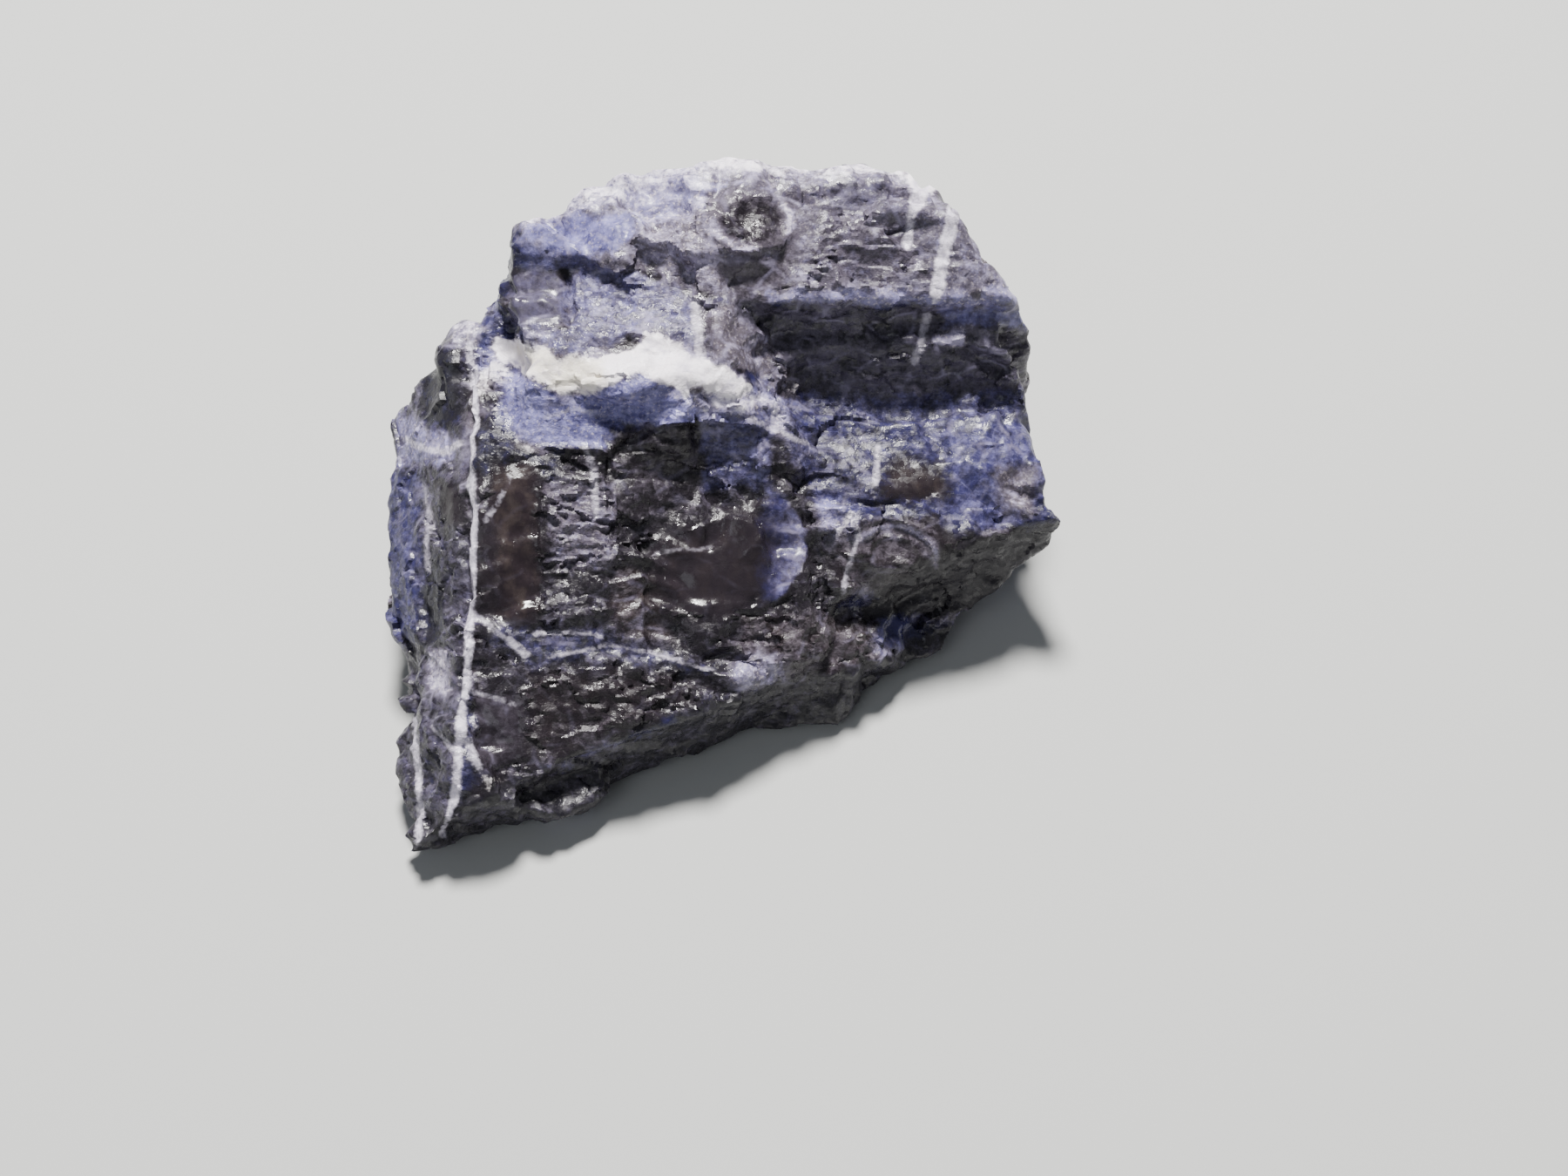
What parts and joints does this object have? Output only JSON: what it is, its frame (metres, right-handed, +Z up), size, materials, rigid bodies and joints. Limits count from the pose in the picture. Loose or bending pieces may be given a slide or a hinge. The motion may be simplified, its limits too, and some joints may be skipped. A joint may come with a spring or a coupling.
{
  "type": "rough sodalite stone",
  "caption": "Rough broken mineral stone with cleavage faces, ledges, an undercut recess and pits, resting on a small flat facet.",
  "frame": {"origin": "middle of the stone's bounding box at the plane that it rests on", "axes": "+X along the stone's longest width, -Y towards its steep front face, +Z up, square to its resting facet"},
  "size_m": [0.054, 0.0492, 0.0306],
  "materials": {
    "stone": "broken, glassy to sugary, dark grey-blue with white veins"
  },
  "bodies": {
    "root": {"sodalite": "stone"}
  },
  "joints": []
}
